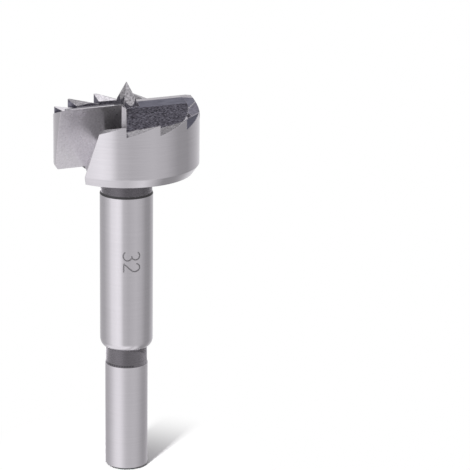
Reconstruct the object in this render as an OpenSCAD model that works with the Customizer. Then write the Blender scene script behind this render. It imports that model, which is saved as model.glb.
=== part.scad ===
// Forstner bit: a one-piece wood boring bit with a saw-toothed rim, two chip gullets,
// two straight cutting edges and a ground centre point.
// The origin is the centre of the shank's flat end, +Z runs along the axis to the point,
// and the two cutting edges lie along X. The bit cuts turning counter-clockwise seen from the point.

/* [Shank] */
// Diameter of the shank that the chuck grips
shank_d = 9.5; // [6:0.1:10.5]
// Length of the shank, from its end to the groove
shank_l = 24.4; // [15:0.1:60]
// Chamfer at the shank's end
shank_chamfer = 0.55; // [0.2:0.05:1]

/* [Groove] */
// Diameter of the unground groove between shank and body
groove_d = 9.2; // [5:0.1:9.4]
// Length of the groove
groove_l = 4.1; // [2:0.1:10]
// Height of the cone from the shank's shoulder down to the groove
groove_run = 0.5; // [0.2:0.1:1.5]

/* [Body] */
// Diameter of the ground body
body_d = 11.8; // [11.5:0.1:14]
// Length of the body, with its rounded foot
body_l = 35.3; // [10:0.1:80]
// Height of the rounded foot of the body
foot_h = 1.9; // [0.5:0.1:4]

/* [Neck] */
// Diameter of the unground neck under the head
neck_d = 11.4; // [9:0.1:11.4]
// Length of the neck
neck_l = 5.1; // [2:0.1:10]
// Height of the cone from the body's shoulder to the neck
neck_run = 0.5; // [0.2:0.1:1.5]

/* [Head] */
// Diameter of the hole that the bit bores
head_d = 32; // [30:0.5:40]
// Height of the head, from its underside to the tooth tips
head_h = 13.7; // [12:0.1:18]
// Width of the chamfer round the underside
head_chamfer_w = 1.4; // [0.5:0.1:2]
// Height of the chamfer round the underside
head_chamfer_h = 2; // [0.5:0.1:3]
// Width of the toothed rim
rim_w = 2.5; // [2:0.1:3]
// Fall of the rim's top towards the inside, in degrees
rim_bevel = 25; // [15:1:30]

/* [Cutting edges] */
// Height of the cutting edges over the tooth tips
edge_rise = 1.6; // [0.5:0.1:2.5]
// Distance that each rake face stands ahead of the axis at its cutting edge
rake_ahead = 1.7; // [1.4:0.1:2]
// Hook of the rake faces: their lean from upright, in degrees
rake_hook = 16; // [8:1:18]
// Width of the polished land behind each cutting edge
land_w = 1.2; // [0.5:0.1:2]
// Fall of the land, in degrees
land_fall = 8; // [4:1:10]
// Width of the ground band behind the land
band_w = 3; // [1:0.1:4]
// Fall of the ground band, in degrees
band_fall = 12; // [6:1:14]
// Fall of the milled relief behind the band, in degrees
relief_fall = 15; // [10:1:18]
// Height that the underside is ground away below each rake face
heel_h = 1.1; // [0.5:0.1:2]
// Length of the ground heel behind the rake face
heel_l = 6.5; // [4:0.1:8]
// Distance of the heel's inner end from the axis
heel_start = 8; // [7.5:0.1:9]

/* [Teeth] */
// Angle from a cutting edge back to the first tooth
first_tooth = 30.4; // [26:0.1:32]
// Angle from one tooth to the next
tooth_pitch = 27.2; // [24:0.1:28]
// Number of gashes in each half of the rim
gash_count = 5; // [3:1:5]
// Depth of a gash on the outside of the rim
gash_depth = 2.2; // [1:0.1:2.5]
// Outward fall of a gash's floor, in degrees
gash_tilt = 10; // [5:1:20]
// Width of the flat left on a tooth's tip
tip_land = 0.6; // [0.2:0.1:1.5]
// Depth of the gash behind a cutting edge below the tooth tips
corner_depth = 1.5; // [1:0.1:2]
// Height of the cutting edge's outer corner over the tooth tips
corner_rise = 1.35; // [0.9:0.05:1.5]
// Outward fall of the gash behind a cutting edge, in degrees
corner_tilt = 16; // [10:1:22]

/* [Gullets] */
// Plan angle between a cutting edge and the wall across the gullet
wall_plan = 68; // [64:1:75]
// Distance along the cutting edge from its middle to the gullet's inner corner
corner_r = 1.8; // [1.5:0.1:2.5]
// Plan angle of the facet across the gullet's inner corner
corner_plan = 124; // [110:1:130]
// Undercut of that facet from upright, in degrees
corner_hook = 14; // [5:1:16]
// Height of the pocket's floor at the wall over the underside
pocket_z = 9.3; // [7:0.1:10]
// Fall of the pocket's floor away from the wall, in degrees
pocket_fall = 25; // [10:1:35]
// Distance of the chute's foot from the axis
chute_r = 10.8; // [10:0.1:11.5]
// Plan angle between the cutting edge and the chute
chute_plan = 66; // [60:1:70]
// Lean of the chute from upright, in degrees
chute_lean = 32; // [25:0.5:36]
// Plan angle between the cutting edge and the rim's trailing end
rim_end_plan = 55; // [50:1:60]
// Angle round the head from the cutting edge to the rim's trailing end, at the underside
rim_end = 31.3; // [29:0.1:32]
// Lean of the rim's trailing end from upright, in degrees
rim_end_lean = 19; // [16:0.5:22]
// Angle round the head to the steeper foot of the rim's trailing end
rim_foot = 33.2; // [32:0.2:35]
// Lean of that foot from upright, in degrees
rim_foot_lean = 6; // [3:1:12]

/* [Centre point] */
// Height of the point over the cutting edges
point_h = 4.7; // [3:0.1:7]
// Lean of the point's four flats from the axis, in degrees
point_lean = 21.4; // [18:0.2:26]
// Angle from a cutting edge to the nearest flat's middle
point_turn = 10.4; // [0:0.2:30]
// Diameter of the boss that the point is ground from
boss_d = 4.2; // [3:0.1:4.4]
// Radius of the fillet round the boss's foot
boss_fillet = 1.1; // [0.5:0.1:1.5]

/* [Hidden] */

$fn = 96;

steel = "#b4b2ba";

// Half-size of a block that is larger than the head, and the overlap of joined solids
reach = 40;
lap = 0.1;
fillet_step = 15;

shank_r = shank_d / 2;
groove_r = groove_d / 2;
body_r = body_d / 2;
neck_r = neck_d / 2;
head_r = head_d / 2;
bore_r = head_r - rim_w;
boss_r = boss_d / 2;

// Levels along the axis
groove_z = shank_l;
body_z = groove_z + groove_l;
neck_z = body_z + body_l;
head_z = neck_z + neck_l;
tip_z = head_z + head_h;
edge_z = tip_z + edge_rise;
apex_z = edge_z + point_h;

// Turned outline of everything below the head
module stem() {
    rotate_extrude()
        polygon(concat(
            [
                [0, 0],
                [shank_r - shank_chamfer, 0],
                [shank_r, shank_chamfer],
                [shank_r, groove_z],
                [groove_r, groove_z + groove_run],
            ],
            [
                for (a = [0 : fillet_step : 90])
                    [
                        groove_r + (body_r - groove_r) * sin(a),
                        body_z + foot_h * (1 - cos(a)),
                    ]
            ],
            [
                [body_r, neck_z],
                [neck_r, neck_z + neck_run],
                [neck_r, head_z + lap],
                [0, head_z + lap],
            ]
        ));
}

// Prism along X below one cutting edge's land, ground band and milled relief
module relieved() {
    land_y = rake_ahead - land_w;
    band_y = land_y - band_w;
    land_z = edge_z - land_w * tan(land_fall);
    band_z = land_z - band_w * tan(band_fall);
    foot_z = band_z - (band_y + head_r) * tan(relief_fall);
    rotate([90, 0, 90])
        linear_extrude(2 * reach, center = true)
            polygon([
                [-head_r, head_z],
                [rake_ahead, head_z],
                [rake_ahead, edge_z],
                [land_y, land_z],
                [band_y, band_z],
                [-head_r, foot_z],
            ]);
}

// Half of the head's middle, inside the rim: the half that lies behind one cutting edge
module half_core() {
    intersection() {
        translate([0, 0, head_z])
            cylinder(h = edge_z - head_z, r = bore_r);
        relieved();
        union() {
            translate([0, -reach, 0])
                cube([reach, 2 * reach, 2 * apex_z]);
            translate([-reach, -reach - rake_ahead, 0])
                cube([2 * reach, reach, 2 * apex_z]);
        }
    }
}

// Blank of the rim, as high as the cutting edges
module rim_blank() {
    inner_r = bore_r - lap;
    rotate_extrude()
        polygon([
            [inner_r, head_z],
            [head_r - head_chamfer_w, head_z],
            [head_r, head_z + head_chamfer_h],
            [head_r, edge_z],
            [inner_r, edge_z],
        ]);
}

// Waste over the tooth tips, from just ahead of the first tooth back into the next gullet
module rim_top_waste() {
    margin = 1;
    outer_r = head_r + margin;
    inner_r = bore_r - margin;
    first_angle = first_tooth - 3;
    last_angle = 160;
    rotate([0, 0, -last_angle])
        rotate_extrude(angle = last_angle - first_angle)
            polygon([
                [outer_r, tip_z + margin * tan(rim_bevel)],
                [outer_r, edge_z + margin],
                [inner_r, edge_z + margin],
                [inner_r, tip_z - (rim_w + margin) * tan(rim_bevel)],
            ]);
}

// One gash: an upright tooth face at an angle behind the edge, and a floor that rises ahead of it.
// The floor meets the rim's outside one step further ahead, at a rise over the tooth tips.
module gash(lag, step, land, depth, rise, tilt) {
    run = head_r * sin(step) - land;
    tilt_rise = head_r * (1 - cos(step)) * tan(tilt);
    slope = (depth + rise - tilt_rise) / run;
    top = edge_z - tip_z + depth + 1;
    rotate([0, 0, -lag])
        translate([head_r, 0, tip_z - depth])
            rotate([0, tilt, 0])
                rotate([90, 0, 90])
                    linear_extrude(2 * head_r, center = true)
                        polygon([[0, 0], [top / slope, top], [0, top]]);
}

// Half of the rim's waste: the gash behind the edge, then the row of gashes between the teeth
module half_rim_waste() {
    corner_lead = asin(rake_ahead / head_r);
    gash(first_tooth, first_tooth + corner_lead, 0, corner_depth, corner_rise, corner_tilt);
    for (i = [1 : gash_count - 1])
        gash(first_tooth + i * tooth_pitch, tooth_pitch, tip_land, gash_depth, 0, gash_tilt);
    rim_top_waste();
}

// Toothed rim
module rim() {
    difference() {
        rim_blank();
        for (turn = [0, 180])
            rotate([0, 0, turn])
                half_rim_waste();
    }
}

// Block on the outer side of a plane through a place, seen in plan at an angle to the cutting edge
module beyond(place, plan, lean) {
    translate(place)
        rotate([0, 0, plan])
            rotate([-lean, 0, 0])
                translate([-reach, -2 * reach, -reach])
                    cube(2 * reach);
}

// Block beyond the rim's trailing end, with its steeper foot
module past_rim_end() {
    for (cut = [[rim_end, rim_end_lean], [rim_foot, rim_foot_lean]])
        beyond([head_r * cos(cut[0]), head_r * sin(cut[0]), head_z], rim_end_plan, cut[1]);
}

// Pocket inside the rim: an upright wall across the gullet, a corner facet and a floor to the chute
module pocket() {
    intersection() {
        translate([0, 0, head_z])
            cylinder(h = reach, r = bore_r);
        beyond([0, 0, head_z], wall_plan, 0);
        beyond([corner_r, rake_ahead, edge_z], corner_plan, -corner_hook);
        beyond([0, 0, head_z + pocket_z], wall_plan, 90 - pocket_fall);
    }
}

// Chute that lets the chips fall past the rim's trailing end
module chute() {
    intersection() {
        beyond([chute_r, 0, head_z], chute_plan, chute_lean);
        past_rim_end();
    }
}

// Gullet ahead of one rake face
module gullet() {
    intersection() {
        beyond([0, rake_ahead, edge_z], 180, -rake_hook);
        translate([0, -reach, head_z - lap])
            cube([reach, 2 * reach, reach]);
        union() {
            pocket();
            chute();
        }
    }
}

// Heel ground off the underside, from behind one rake face to the rim's trailing end
module heel() {
    rake_foot = rake_ahead - (edge_z - head_z) * tan(rake_hook);
    ahead = head_r - rake_foot;
    intersection() {
        translate([heel_start, rake_foot, head_z])
            rotate([90, 0, 90])
                linear_extrude(reach)
                    polygon([
                        [-heel_l, -lap],
                        [ahead, -lap],
                        [ahead, heel_h * (1 + ahead / heel_l)],
                        [-heel_l, 0],
                    ]);
        past_rim_end();
    }
}

// Centre point: four flats ground on a filleted boss
module point() {
    flat_foot = apex_z - head_z;
    half_w = flat_foot * tan(point_lean);
    intersection() {
        rotate_extrude()
            polygon(concat(
                [
                    [0, apex_z],
                    [0, tip_z],
                    [boss_r + boss_fillet, tip_z],
                ],
                [
                    for (a = [0 : fillet_step : 90])
                        [
                            boss_r + boss_fillet * (1 - sin(a)),
                            edge_z - land_w * tan(land_fall) + boss_fillet * (1 - cos(a)),
                        ]
                ],
                [[boss_r, apex_z]]
            ));
        intersection_for (turn = [0, 90])
            rotate([0, 0, point_turn + turn])
                rotate([90, 0, 0])
                    linear_extrude(2 * reach, center = true)
                        polygon([
                            [-half_w, head_z],
                            [half_w, head_z],
                            [0, apex_z],
                        ]);
    }
}

module forstner_bit() {
    color(steel) {
        stem();
        difference() {
            union() {
                for (turn = [0, 180])
                    rotate([0, 0, turn])
                        half_core();
                rim();
                point();
            }
            for (turn = [0, 180])
                rotate([0, 0, turn]) {
                    gullet();
                    heel();
                }
        }
    }
}

forstner_bit();
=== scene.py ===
"""Studio picture of a forstner bit: one ground steel tool on a white floor under soft light."""

import math

import bmesh
import bpy
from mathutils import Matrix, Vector


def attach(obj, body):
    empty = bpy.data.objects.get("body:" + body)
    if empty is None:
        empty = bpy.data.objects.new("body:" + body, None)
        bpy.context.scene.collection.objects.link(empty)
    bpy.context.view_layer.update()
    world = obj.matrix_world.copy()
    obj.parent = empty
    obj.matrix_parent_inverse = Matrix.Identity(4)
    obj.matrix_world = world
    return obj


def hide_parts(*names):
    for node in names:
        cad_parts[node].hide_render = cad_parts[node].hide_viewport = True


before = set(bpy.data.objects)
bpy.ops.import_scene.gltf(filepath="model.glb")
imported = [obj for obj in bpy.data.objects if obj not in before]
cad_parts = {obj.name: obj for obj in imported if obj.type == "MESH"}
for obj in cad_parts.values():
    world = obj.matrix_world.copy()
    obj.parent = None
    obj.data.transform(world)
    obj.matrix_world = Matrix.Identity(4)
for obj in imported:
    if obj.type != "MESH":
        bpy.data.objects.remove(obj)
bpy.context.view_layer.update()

MM = 0.001

# Heights and radii on the bit, in millimetres
GROOVE_Z = 24.4
BODY_Z = 28.5
NECK_Z = 63.8
HEAD_Z = 68.9
EDGE_Z = 84.2
BODY_R = 5.9
BORE_R = 13.5
BOSS_FOOT_R = 3.4
LAND_Y = 0.5

# Faces of the head, the rim, its teeth and the centre point have their middles past these borders
HEAD_START_Z = HEAD_Z - 0.05
RIM_START_R = BORE_R - 0.2
TEETH_START_Z = EDGE_Z - 6.0
POINT_START_Z = EDGE_Z - 1.0

# Parts of a unit normal: on a face that slopes up or down, on one that looks straight one way, and at most
# on an upright face and on a tooth's front
SLOPING = 0.3
STRAIGHT = 0.9
UPRIGHT = 0.1
TOOTH_OUTWARD = 0.8

# How far a normal may lie from its plane's in degrees, and its height from a flat's on the centre point
PLANE_TOLERANCE = 2.0
FLAT_TOLERANCE = 0.02

# Painted shade: a dark patch in each pocket's inner corner. How far its straight border lies from the
# axis, and the plan angle of the way across the border, in degrees
SHADE_PATCH_R = 4.35
SHADE_PATCH_PLAN = 10.2

# The ground band ends on each wing's corner along a slanting line, where X less Y comes to this length,
# and behind it lies a thin bright line, partly wear and partly a painted highlight
BAND_END = 16.8
WORN_AND_HIGHLIT_LINE_W = 0.35

# Falls of the faces behind the cutting edges, and plan angles and leans of the ground planes, in degrees
LAND_FALL = 8.0
BAND_FALL = 12.0
RELIEF_FALL = 15.0
RAKE_PLAN = 180.0
RAKE_HOOK = 16.0
FACET_PLAN = 124.0
FACET_HOOK = 14.0
POCKET_PLAN = 68.0
POCKET_LEAN = 65.0
CHUTE_PLAN = 66.0
CHUTE_LEAN = 32.0
RIM_END_PLAN = 55.0
RIM_END_LEANS = (19.0, 6.0)
POINT_LEAN = 21.4

# Angles round the head behind a cutting edge, in degrees: two teeth, and where the last gash has ended
FIRST_TOOTH = 30.4
SECOND_TOOTH = 57.6
LAST_GASH_END = 170.0

# Mesh work: points closer than the weld are one point, a cut takes a point this near as lying on it, and
# an edge is sharp from this angle on, in degrees
WELD = 0.0005
CUT_SNAP = 0.005
SHARP_ANGLE = 22.0

# Etched number: size of a digit, half a stroke's width, how far a stroke stands proud of the body and
# reaches into it, each digit's upper end, and the azimuth of the digits' feet seen from the camera
DIGIT_W = 2.2
DIGIT_H = 3.75
STROKE_HALF_W = 0.16
STROKE_PROUD = 0.015
STROKE_DEPTH = 0.05
THREE_TOP = 51.8
TWO_TOP = 49.2
DIGIT_AZIMUTH = -7.0
ARC_STEPS = 14
LINE_STEPS = 12

# The camera stands left of the front, seen from above, and looks at a place on the bit's axis
VIEW_AZIMUTH = -22.0
VIEW_ELEVATION = 16.9
VIEW_DISTANCE = 597.0
VIEW_HEIGHT = 54.0
SENSOR_W = 36.0
LENS = 206.8
SHIFT_X = 0.231

# Nearest and farthest place that the camera sees, in metres
CLIP_START = 0.01
CLIP_END = 20.0

# Brightness of what the steel mirrors: at each angle to the right of the camera, at each elevation of the
# sky, and below the bit at each distance from the front left to the back right
RING = (
    (-180.0, 0.85),
    (-150.0, 0.58),
    (-125.0, 0.53),
    (-107.0, 0.56),
    (-82.0, 0.78),
    (-66.0, 1.05),
    (-38.0, 1.18),
    (-25.0, 1.08),
    (-12.0, 0.70),
    (8.0, 0.61),
    (42.0, 0.68),
    (65.0, 0.61),
    (90.0, 0.42),
    (112.0, 0.405),
    (133.0, 0.56),
    (160.0, 0.76),
    (180.0, 0.82),
)
SKY = ((6.0, 0.92), (31.0, 0.88), (41.0, 0.68), (49.0, 0.38), (90.0, 0.30))
GROUND = ((-0.30, 1.10), (-0.05, 0.72), (0.18, 0.96), (0.50, 0.38))

# Heights of a unit direction between which the ring gives way to the sky and to the ground, and the shares
# of right and ahead that make up the distance on the ground
SKY_FADE = (0.10, 0.40)
GROUND_FADE = (-0.50, -0.80)
GROUND_RIGHT = 0.8
GROUND_AHEAD = -0.6

# Softbox high behind the bit, with the angles at which its light starts and is full
SOFTBOX_AZIMUTH = 155.0
SOFTBOX_ELEVATION = 62.0
SOFTBOX_LEVEL = 2.4
SOFTBOX_EDGE = (15.0, 7.0)

# Lamp for the shadow, left of the camera: place and size in metres, and power in watts
LAMP_AZIMUTH = -25.0
LAMP_DISTANCE = 0.7
LAMP_HEIGHT = 0.55
LAMP_SIZE = 0.08
LAMP_POWER = 16.0

# Floor: radius in metres, grey levels of its paper, and the radii in millimetres between which it turns
# plain white to the eye
FLOOR_R = 4.0
FLOOR_CORNERS = 96
PAPER = (0.62, 0.63)
PAPER_GRAIN = (40.0, 40.0, 40.0)
SHADOW_FADE = (4.0, 34.0)

# Values between which noise mostly lies
NOISE_LOW = 0.3
NOISE_HIGH = 0.7


class Graph:
    """A node tree that is cleared and filled again with short calls."""

    def __init__(self, tree):
        self.tree = tree
        tree.nodes.clear()

    def add(self, kind, settings=None, **sockets):
        node = self.tree.nodes.new("ShaderNode" + kind)
        for key, value in (settings or {}).items():
            setattr(node, key, value)
        for key, value in sockets.items():
            self.put(node.inputs[key.replace("_", " ")], value)
        return node

    def put(self, socket, value):
        if isinstance(value, bpy.types.NodeSocket):
            self.tree.links.new(value, socket)
        else:
            socket.default_value = value

    def math(self, operation, first, second=0.0):
        node = self.add("Math", {"operation": operation})
        self.put(node.inputs[0], first)
        self.put(node.inputs[1], second)
        return node.outputs[0]

    def weighted_sum(self, first, first_share, second, second_share):
        """Sum of two values, each times its share."""
        first_part = self.math("MULTIPLY", first, first_share)
        second_part = self.math("MULTIPLY", second, second_share)
        return self.math("ADD", first_part, second_part)

    def vector(self, operation, first, second):
        node = self.add("VectorMath", {"operation": operation})
        self.put(node.inputs[0], first)
        self.put(node.inputs[1], second)
        return node.outputs[0]

    def dot(self, vector, direction):
        node = self.add("VectorMath", {"operation": "DOT_PRODUCT"})
        self.put(node.inputs[0], vector)
        self.put(node.inputs[1], direction)
        return node.outputs["Value"]

    def length(self, vector):
        return self.add("VectorMath", {"operation": "LENGTH"}, Vector=vector).outputs["Value"]

    def noise(self, vector, scale, detail):
        stretched = self.vector("MULTIPLY", vector, scale)
        return self.add("TexNoise", None, Vector=stretched, Scale=1.0, Detail=detail).outputs["Fac"]

    def spread(self, value, low, high):
        """Noise stretched over a range."""
        span = {"From_Min": NOISE_LOW, "From_Max": NOISE_HIGH, "To_Min": low, "To_Max": high}
        return self.add("MapRange", None, Value=value, **span).outputs[0]

    def smooth(self, value, start, end):
        """Share that goes smoothly from 0 at a start value to 1 at an end value."""
        smoothstep = {"interpolation_type": "SMOOTHSTEP"}
        return self.add("MapRange", smoothstep, Value=value, From_Min=start, From_Max=end).outputs[0]

    def mix(self, share, first, second):
        """Colour between two colours; the node's sockets 6, 7 and 2 are the ones for colours."""
        node = self.add("Mix", {"data_type": "RGBA"})
        self.put(node.inputs[0], share)
        self.put(node.inputs[6], first)
        self.put(node.inputs[7], second)
        return node.outputs[2]

    def ramp(self, value, stops):
        node = self.add("ValToRGB", None, Fac=value)
        elements = node.color_ramp.elements
        while len(elements) < len(stops):
            elements.new(0.5)
        for element, (position, colour) in zip(elements, stops):
            element.position = position
            element.color = colour
        return node.outputs["Color"]

    def finish(self, kind, shader):
        output = self.add("Output" + kind)
        self.put(output.inputs["Surface"], shader)


# Faintly violet tone of the steel and of what it mirrors: green and blue for each part of red
GREEN_SHARE = 0.98
BLUE_SHARE = 1.012


def grey(level):
    """Grey in the steel's tone."""
    return (level, GREEN_SHARE * level, BLUE_SHARE * level, 1.0)


# Edges are painted bright where the rounded normal turns away from the face's own: partly wear, partly a
# painted highlight along each edge
WORN_AND_HIGHLIT_EDGE = grey(0.60)
WORN_AND_HIGHLIT_EDGE_R = 0.18
WORN_AND_HIGHLIT_EDGE_SAMPLES = 4
WORN_AND_HIGHLIT_TURN = (0.01, 0.10)

# Tool marks over wide clouds: how fast each changes per metre along X, Y and Z, how fine their detail is,
# the share of the marks, the darkest shade, a scratch's depth in millimetres, and the roughness's spread
TURNED = (120.0, 120.0, 5200.0)
MILLED = (1900.0, 5400.0, 5400.0)
HONED = (420.0, 1700.0, 1700.0)
BLASTED = (2200.0, 2200.0, 2200.0)
CLOUDS = (300.0, 300.0, 300.0)
MARK_DETAIL = 4.0
CLOUD_DETAIL = 2.0
MARK_SHARE = 0.92
DARKEST = 0.2
SCRATCH_DEPTH = 0.02
ROUGHNESS_SPREAD = 0.1

# Black scale with a soft sheen, marks that run across the tool, and grain that stays dark at a low angle
OXIDE_TINT = (0.97, 0.92, 1.0, 1.0)
OXIDE = {
    "Metallic": 0.0,
    "IOR": 2.15,
    "Specular Tint": OXIDE_TINT,
    "Sheen Weight": 0.45,
    "Sheen Roughness": 0.5,
    "Sheen Tint": OXIDE_TINT,
}
BRUSHED = {"Anisotropic": 0.9}
DULL = {"Specular Tint": grey(0.40)}


def steel(name, colour, roughness, grain, contrast, bump, skirt=None, gloss=None):
    """Bare steel with tool marks.
    A skirt is two radii in millimetres, between which another colour takes over, and that colour.
    Gloss sets more of the surface's own sockets."""
    material = bpy.data.materials.new(name)
    material.use_nodes = True
    graph = Graph(material.node_tree)
    place = graph.add("TexCoord").outputs["Object"]
    marks = graph.noise(place, grain, MARK_DETAIL)
    clouds = graph.noise(place, CLOUDS, CLOUD_DETAIL)
    both = graph.weighted_sum(marks, MARK_SHARE, clouds, 1.0 - MARK_SHARE)
    shade = graph.math("MAXIMUM", graph.spread(both, 1.0 - contrast, 1.0 + contrast), DARKEST)
    if skirt:
        start, end, far_colour = skirt
        radius = graph.length(graph.vector("MULTIPLY", place, (1.0, 1.0, 0.0)))
        colour = graph.mix(graph.smooth(radius, start * MM, end * MM), colour, far_colour)
    rounded = graph.add("Bevel", {"samples": WORN_AND_HIGHLIT_EDGE_SAMPLES}, Radius=WORN_AND_HIGHLIT_EDGE_R * MM).outputs[0]
    plain = graph.add("NewGeometry").outputs["Normal"]
    # Bright edges: wear with a painted highlight along each edge
    edge_wear_and_highlight = graph.smooth(graph.math("SUBTRACT", 1.0, graph.dot(rounded, plain)), *WORN_AND_HIGHLIT_TURN)
    tinted = graph.add("VectorMath", {"operation": "SCALE"}, Scale=shade)
    graph.put(tinted.inputs[0], graph.mix(edge_wear_and_highlight, colour, WORN_AND_HIGHLIT_EDGE))
    depth = SCRATCH_DEPTH * MM
    scratched = graph.add("Bump", None, Strength=bump, Distance=depth, Height=marks, Normal=rounded)
    surface = graph.add("BsdfPrincipled", None, Metallic=1.0, Base_Color=tinted.outputs[0])
    for socket, value in (gloss or {}).items():
        graph.put(surface.inputs[socket], value)
    smoothest = roughness * (1.0 - ROUGHNESS_SPREAD)
    roughest = roughness * (1.0 + ROUGHNESS_SPREAD)
    graph.put(surface.inputs["Tangent"], graph.add("CombineXYZ", None, Z=1.0).outputs[0])
    graph.put(surface.inputs["Roughness"], graph.spread(both, smoothest, roughest))
    graph.put(surface.inputs["Normal"], scratched.outputs[0])
    graph.finish("Material", surface.outputs[0])
    return material


# Finishes by name: colour, roughness, grain, contrast of the marks and strength of their bump
BARE = (0.090, 0.087, 0.103, 1.0)
MILL_GREY = (0.124, 0.121, 0.141, 1.0)
BLUISH = (0.238, 0.240, 0.282, 1.0)
SLATE = (0.150, 0.152, 0.185, 1.0)
VIOLET = (0.200, 0.195, 0.235, 1.0)
FLAT_SKIRT = (1.90, 2.04, BARE)
SIDE_SKIRT = (1.42, 1.54, BARE)
MATERIALS = {
    "ground": steel("ground_steel", grey(0.66), 0.13, TURNED, 0.03, 0.06),
    "shank": steel("drawn_shank", grey(0.69), 0.38, TURNED, 0.03, 0.06),
    "dark": steel("unground_steel", grey(0.008), 0.28, TURNED, 0.28, 0.25, gloss=OXIDE),
    # Darker steel on sloping shoulders: partly unground, partly painted shade
    "black": steel("unground_shoulder_and_painted_shade", grey(0.09), 0.45, TURNED, 0.12, 0.25),
    "relief": steel("milled_relief", MILL_GREY, 0.45, MILLED, 1.70, 1.0, gloss=DULL),
    "band": steel("ground_band", BLUISH, 0.38, HONED, 0.20, 0.4, gloss=DULL),
    "land": steel("polished_land", grey(0.52), 0.18, HONED, 0.06, 0.1),
    "rake": steel("ground_rake", grey(0.76), 0.30, BLASTED, 0.12, 0.15, gloss=BRUSHED),
    "facet": steel("ground_facet", grey(0.57), 0.32, BLASTED, 0.12, 0.15),
    "rim_end": steel("ground_rim_end", grey(0.57), 0.25, BLASTED, 0.12, 0.15),
    # Dark milled gullets; the same steel is the painted shade in the pockets' inner corners
    "gullet": steel("milled_gullet_and_shade_patch", grey(0.12), 0.45, BLASTED, 0.25, 0.5),
    "pocket": steel("ground_pocket", grey(0.54), 0.30, BLASTED, 0.12, 0.3),
    "chute": steel("ground_chute", grey(0.78), 0.30, BLASTED, 0.12, 0.3),
    "inner": steel("ground_rim_inside", grey(0.84), 0.20, TURNED, 0.05, 0.1),
    "gash": steel("ground_gash", grey(0.40), 0.25, BLASTED, 0.40, 0.5),
    "first_gash": steel("ground_first_gash", SLATE, 0.38, HONED, 0.20, 0.4, gloss=DULL),
    "tooth": steel("ground_tooth_face", VIOLET, 0.35, BLASTED, 0.40, 0.4),
    "flat": steel("ground_point", grey(0.45), 0.28, BLASTED, 0.60, 0.6, skirt=FLAT_SKIRT),
    "side_flat": steel("ground_point_side", grey(0.37), 0.28, BLASTED, 0.60, 0.6, skirt=SIDE_SKIRT),
    "etched": steel("etched_number", grey(0.24), 0.45, BLASTED, 0.10, 0.3),
}


def near(normal, direction):
    """True if a normal lies close to a direction, on either half of the bit."""
    half_turn = Vector((-direction.x, -direction.y, direction.z))
    closest = max(normal.dot(direction), normal.dot(half_turn))
    return closest > math.cos(math.radians(PLANE_TOLERANCE))


def leaning(plan, lean):
    """Normal of a gullet plane, into the open gullet."""
    plan = math.radians(plan)
    lean = math.radians(lean)
    return Vector((math.sin(plan) * math.cos(lean), -math.cos(plan) * math.cos(lean), math.sin(lean)))


def falling(degrees):
    """Normal of a face that falls away behind a cutting edge."""
    angle = math.radians(degrees)
    return Vector((0.0, -math.sin(angle), math.cos(angle)))


POCKET_FLOOR = leaning(POCKET_PLAN, POCKET_LEAN)
PLANES = (
    (falling(LAND_FALL), "land"),
    (falling(BAND_FALL), "band"),
    (falling(RELIEF_FALL), "relief"),
    (leaning(RAKE_PLAN, -RAKE_HOOK), "rake"),
    (leaning(FACET_PLAN, -FACET_HOOK), "facet"),
    (POCKET_FLOOR, "pocket"),
    (leaning(CHUTE_PLAN, CHUTE_LEAN), "chute"),
    *((leaning(RIM_END_PLAN, lean), "rim_end") for lean in RIM_END_LEANS),
)
SHADE_PATCH_ACROSS = Vector((math.cos(math.radians(SHADE_PATCH_PLAN)), math.sin(math.radians(SHADE_PATCH_PLAN)), 0.0))


def in_shade_patch(place):
    """True in the inner corner of a pocket's floor, where shade is painted."""
    return abs(place.dot(SHADE_PATCH_ACROSS)) < SHADE_PATCH_R


def stem_finish(height, normal):
    """Name of the finish at a height on the shank, groove, body or neck, in millimetres; faces sloping up
    in the groove and neck, and down on the shank, get darker steel, partly unground and partly painted
    shade.
    """
    if GROOVE_Z < height < BODY_Z or height > NECK_Z:
        return "black" if normal.z > SLOPING else "dark"
    if height > GROOVE_Z:
        return "ground"
    return "black" if normal.z < -SLOPING else "shank"


def point_finish(normal):
    """Name of the finish on the centre point: four flats on a dark boss."""
    if abs(normal.z - math.sin(math.radians(POINT_LEAN))) > FLAT_TOLERANCE:
        return "relief"
    return "side_flat" if abs(normal.x) > abs(normal.y) else "flat"


def behind_edge(place):
    """Angle round the head from the cutting edge ahead of a place, in degrees."""
    return math.degrees(math.atan2(-place.y, place.x)) % 180.0


def on_corner(place, normal):
    """True on the facets that slope down from the outer ends of the cutting edges."""
    on_rim = math.hypot(place.x, place.y) > RIM_START_R and place.z > TEETH_START_Z
    among_teeth = FIRST_TOOTH < behind_edge(place) < LAST_GASH_END
    return on_rim and normal.z > SLOPING and not among_teeth


def corner_finish(place):
    """Name of the finish on such a facet: land and band run on over it to a slanting line."""
    side = math.copysign(1.0, place.x)
    past_band = side * (place.x - place.y) - BAND_END
    if past_band > 0.0:
        # The thin strip past the band's end is brighter: wear with a painted highlight
        return "gash" if past_band < WORN_AND_HIGHLIT_LINE_W else "tooth"
    return "land" if side * place.y > LAND_Y else "band"


def gash_finish(place, outward):
    """Name of the finish in a gash: the first one is darker outside and polished inside."""
    if behind_edge(place) > SECOND_TOOTH:
        return "gash"
    return "first_gash" if outward > 0.0 else "inner"


def rim_finish(place, normal, outward):
    """Name of the finish on the rim and its teeth."""
    if outward < -STRAIGHT:
        return "inner"
    if place.z < TEETH_START_Z:
        return "ground"
    if on_corner(place, normal):
        return corner_finish(place)
    if normal.z > SLOPING:
        return gash_finish(place, outward)
    return "tooth" if abs(outward) < TOOTH_OUTWARD and abs(normal.z) < UPRIGHT else "ground"


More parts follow.
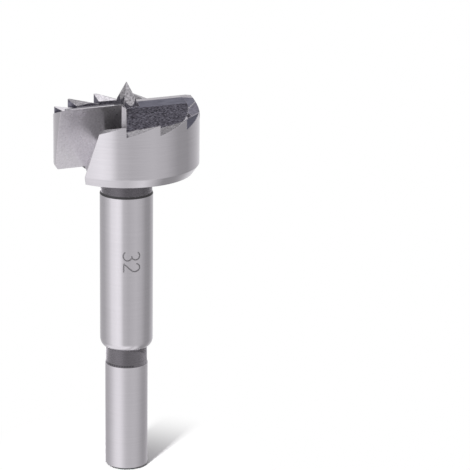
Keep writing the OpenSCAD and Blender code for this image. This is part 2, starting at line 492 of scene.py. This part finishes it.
def head_finish(place, normal):
    """Name of the finish of one face of the head; lengths are in millimetres."""
    radius = math.hypot(place.x, place.y)
    if radius < BOSS_FOOT_R and place.z > POINT_START_Z and normal.z < STRAIGHT:
        return point_finish(normal)
    for direction, finish in PLANES:
        if near(normal, direction):
            # A pocket's inner corner gets the dark gullet steel as painted shade
            return "gullet" if finish == "pocket" and in_shade_patch(place) else finish
    outward = normal.dot(Vector((place.x, place.y, 0.0)).normalized())
    if radius > RIM_START_R:
        return rim_finish(place, normal, outward)
    return "inner" if outward < -STRAIGHT else "gullet"


def finish_of(face):
    """Name of the finish of a face of the bit."""
    place = face.calc_center_median() / MM
    if place.z < HEAD_START_Z:
        return stem_finish(place.z, face.normal)
    return head_finish(place, face.normal)


def split(work, faces, side, spot, across):
    """Cuts the faces on one side of the bit by a plane; the spot on it is for the right side."""
    cut_faces = [face for face in faces if face.calc_center_median().x * side > 0.0]
    outlines = dict.fromkeys(item for face in cut_faces for item in (*face.verts, *face.edges))
    bmesh.ops.bisect_plane(
        work,
        geom=[*cut_faces, *outlines],
        dist=CUT_SNAP * MM,
        plane_co=spot * side * MM,
        plane_no=across,
    )


def split_pockets(work):
    """Cuts the pockets' floors along the borders of their patches of painted shade."""
    for side in (1.0, -1.0):
        floors = [face for face in work.faces if near(face.normal, POCKET_FLOOR)]
        split(work, floors, side, SHADE_PATCH_ACROSS * SHADE_PATCH_R, SHADE_PATCH_ACROSS)


def split_corners(work):
    """Cuts the corner facets along the lines at which their finish changes."""
    slant = Vector((1.0, -1.0, 0.0))
    along = Vector((0.0, 1.0, 0.0))
    cuts = (
        (Vector((BAND_END, 0.0, 0.0)), slant),
        (Vector((BAND_END + WORN_AND_HIGHLIT_LINE_W, 0.0, 0.0)), slant),
        (Vector((0.0, LAND_Y, 0.0)), along),
    )
    for side in (1.0, -1.0):
        for spot, across in cuts:
            corners = [
                face for face in work.faces if on_corner(face.calc_center_median() / MM, face.normal)
            ]
            split(work, corners, side, spot, across)


def show(name, mesh):
    """Puts a mesh into the scene as a piece of the bit."""
    piece = bpy.data.objects.new(name, mesh)
    bpy.context.scene.collection.objects.link(piece)
    return piece


def bit():
    """The shown bit: the frame's own solid with a finish on each face."""
    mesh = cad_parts["forstner_bit"].data.copy()
    mesh.materials.clear()
    names = list(MATERIALS)
    for name in names:
        mesh.materials.append(MATERIALS[name])
    work = bmesh.new()
    work.from_mesh(mesh)
    bmesh.ops.remove_doubles(work, verts=work.verts, dist=WELD * MM)
    split_pockets(work)
    split_corners(work)
    for face in work.faces:
        face.material_index = names.index(finish_of(face))
        face.smooth = True
    for edge in work.edges:
        edge.smooth = len(edge.link_faces) == 2 and edge.calc_face_angle() < math.radians(SHARP_ANGLE)
    work.to_mesh(mesh)
    work.free()
    piece = show("bit", mesh)
    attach(piece, "root")
    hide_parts("forstner_bit")


def arc(centre, size, start, end):
    """Points of an elliptic arc in a digit's own unit square."""
    turns = [math.radians(start + (end - start) * step / ARC_STEPS) for step in range(ARC_STEPS + 1)]
    return [(centre[0] + size[0] * math.cos(turn), centre[1] + size[1] * math.sin(turn)) for turn in turns]


def straight(start, end):
    """Points of a straight line in a digit's own unit square."""
    shares = [step / LINE_STEPS for step in range(LINE_STEPS + 1)]
    return [tuple(a + (b - a) * share for a, b in zip(start, end)) for share in shares]


def on_body(spot, rise):
    """Place in metres of a spot on the body: millimetres round it from the digits' feet, and up it."""
    angle = math.radians(VIEW_AZIMUTH + DIGIT_AZIMUTH) + spot.x / BODY_R
    radius = BODY_R + rise
    return Vector((radius * math.sin(angle), -radius * math.cos(angle), spot.y)) * MM


def stroke(work, line, top):
    """Thin strip along a digit's line, laid round the body; the digit reads down the bit from a height."""
    places = [Vector((DIGIT_H * v, top - DIGIT_W * u)) for u, v in line]
    rows = []
    for index, place in enumerate(places):
        run = places[min(index + 1, len(places) - 1)] - places[max(index - 1, 0)]
        across = Vector((-run.y, run.x)).normalized() * STROKE_HALF_W
        corners = (
            (across, STROKE_PROUD),
            (-across, STROKE_PROUD),
            (-across, -STROKE_DEPTH),
            (across, -STROKE_DEPTH),
        )
        rows.append([work.verts.new(on_body(place + shift, rise)) for shift, rise in corners])
    for first, second in zip(rows, rows[1:]):
        for side in range(4):
            after = (side + 1) % 4
            work.faces.new((first[side], first[after], second[after], second[side]))
    work.faces.new(rows[0][::-1])
    work.faces.new(rows[-1])


def number():
    """Bore size in millimetres, etched on the body."""
    three = arc((0.42, 0.75), (0.42, 0.25), 150.0, -90.0) + arc((0.42, 0.26), (0.48, 0.26), 82.0, -150.0)
    two = arc((0.45, 0.70), (0.42, 0.30), 165.0, -35.0) + straight((0.74, 0.49), (0.02, 0.03))
    foot_of_two = straight((0.02, 0.03), (0.92, 0.03))
    work = bmesh.new()
    stroke(work, three, THREE_TOP)
    stroke(work, two, TWO_TOP)
    stroke(work, foot_of_two, TWO_TOP)
    bmesh.ops.recalc_face_normals(work, faces=work.faces)
    mesh = bpy.data.meshes.new("number")
    work.to_mesh(mesh)
    work.free()
    mesh.materials.append(MATERIALS["etched"])
    piece = show("number", mesh)
    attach(piece, "root")


def toward(azimuth, elevation=0.0):
    """Direction from the bit at an azimuth, where 0 is the front and 90 is the right, and an elevation."""
    turn = math.radians(azimuth)
    lift = math.radians(elevation)
    return Vector((math.sin(turn) * math.cos(lift), -math.cos(turn) * math.cos(lift), math.sin(lift)))


def surroundings(graph, direction):
    """Colour that the steel mirrors in a direction."""
    ahead = graph.dot(direction, toward(VIEW_AZIMUTH))
    right = graph.dot(direction, toward(VIEW_AZIMUTH + 90.0))
    height = graph.dot(direction, (0.0, 0.0, 1.0))
    turn = graph.math("DIVIDE", graph.math("ARCTAN2", right, ahead), 2.0 * math.pi)
    ring_stops = [(0.5 + angle / 360.0, grey(level)) for angle, level in RING]
    ring = graph.ramp(graph.math("ADD", turn, 0.5), ring_stops)
    sky = graph.ramp(height, [(math.sin(math.radians(lift)), grey(level)) for lift, level in SKY])
    distance = graph.weighted_sum(right, GROUND_RIGHT, ahead, GROUND_AHEAD)
    ground_stops = [(0.5 + place, grey(level)) for place, level in GROUND]
    ground = graph.ramp(graph.math("ADD", distance, 0.5), ground_stops)
    colour = graph.mix(graph.smooth(height, *SKY_FADE), ring, sky)
    colour = graph.mix(graph.smooth(height, *GROUND_FADE), colour, ground)
    softbox = graph.dot(direction, toward(VIEW_AZIMUTH + SOFTBOX_AZIMUTH, SOFTBOX_ELEVATION))
    edge = [math.cos(math.radians(angle)) for angle in SOFTBOX_EDGE]
    return graph.mix(graph.smooth(softbox, *edge), colour, grey(SOFTBOX_LEVEL))


def studio():
    """Soft light all round, with a white background to the eye."""
    world = bpy.data.worlds.new("studio")
    bpy.context.scene.world = world
    world.use_nodes = True
    graph = Graph(world.node_tree)
    direction = graph.add("TexCoord").outputs["Generated"]
    mirrored = graph.add("Background", None, Color=surroundings(graph, direction), Strength=1.0)
    seen = graph.add("Background", None, Color=(1.0, 1.0, 1.0, 1.0), Strength=1.0)
    choice = graph.add("MixShader", None, Fac=graph.add("LightPath").outputs["Is Camera Ray"])
    graph.put(choice.inputs[1], mirrored.outputs[0])
    graph.put(choice.inputs[2], seen.outputs[0])
    graph.finish("World", choice.outputs[0])


def floor():
    """White floor that keeps the shadow at the bit's foot; the steel mirrors the studio instead of it."""
    bpy.ops.mesh.primitive_circle_add(vertices=FLOOR_CORNERS, radius=FLOOR_R, fill_type="NGON")
    plate = bpy.context.object
    plate.name = "floor"
    material = bpy.data.materials.new("white_floor")
    material.use_nodes = True
    graph = Graph(material.node_tree)
    place = graph.add("TexCoord").outputs["Object"]
    grain = graph.spread(graph.noise(place, PAPER_GRAIN, CLOUD_DETAIL), *PAPER)
    colour = graph.add("CombineColor", None, Red=grain, Green=grain, Blue=grain)
    paper = graph.add("BsdfDiffuse", None, Color=colour.outputs[0])
    white = graph.add("Emission", None, Color=(1.0, 1.0, 1.0, 1.0), Strength=1.0)
    fade = graph.smooth(graph.length(place), *(radius * MM for radius in SHADOW_FADE))
    seen = graph.add("LightPath").outputs["Is Camera Ray"]
    mixed = graph.add("MixShader", None, Fac=graph.math("MULTIPLY", seen, fade))
    graph.put(mixed.inputs[1], paper.outputs[0])
    graph.put(mixed.inputs[2], white.outputs[0])
    graph.finish("Material", mixed.outputs[0])
    plate.data.materials.append(material)
    plate.visible_glossy = False


def lamp():
    """Lamp at the left of the camera that throws the foot's shadow back to the right."""
    data = bpy.data.lights.new("lamp", "AREA")
    data.size = LAMP_SIZE
    data.energy = LAMP_POWER
    lamp_object = bpy.data.objects.new("lamp", data)
    bpy.context.scene.collection.objects.link(lamp_object)
    lamp_object.location = toward(VIEW_AZIMUTH + LAMP_AZIMUTH) * LAMP_DISTANCE
    lamp_object.location.z = LAMP_HEIGHT
    lamp_object.rotation_euler = (-lamp_object.location).to_track_quat("-Z", "Y").to_euler()
    lamp_object.visible_glossy = False


def camera():
    """Camera at the photograph's viewing angle."""
    data = bpy.data.cameras.new("camera")
    data.sensor_width = SENSOR_W
    data.lens = LENS
    data.shift_x = SHIFT_X
    data.clip_start = CLIP_START
    data.clip_end = CLIP_END
    camera_object = bpy.data.objects.new("camera", data)
    bpy.context.scene.collection.objects.link(camera_object)
    back = toward(VIEW_AZIMUTH, VIEW_ELEVATION)
    camera_object.location = (Vector((0.0, 0.0, VIEW_HEIGHT)) + back * VIEW_DISTANCE) * MM
    camera_object.rotation_euler = (-back).to_track_quat("-Z", "Y").to_euler()
    bpy.context.scene.camera = camera_object


bit()
number()
floor()
studio()
lamp()
camera()
bpy.context.scene.view_settings.view_transform = "Standard"
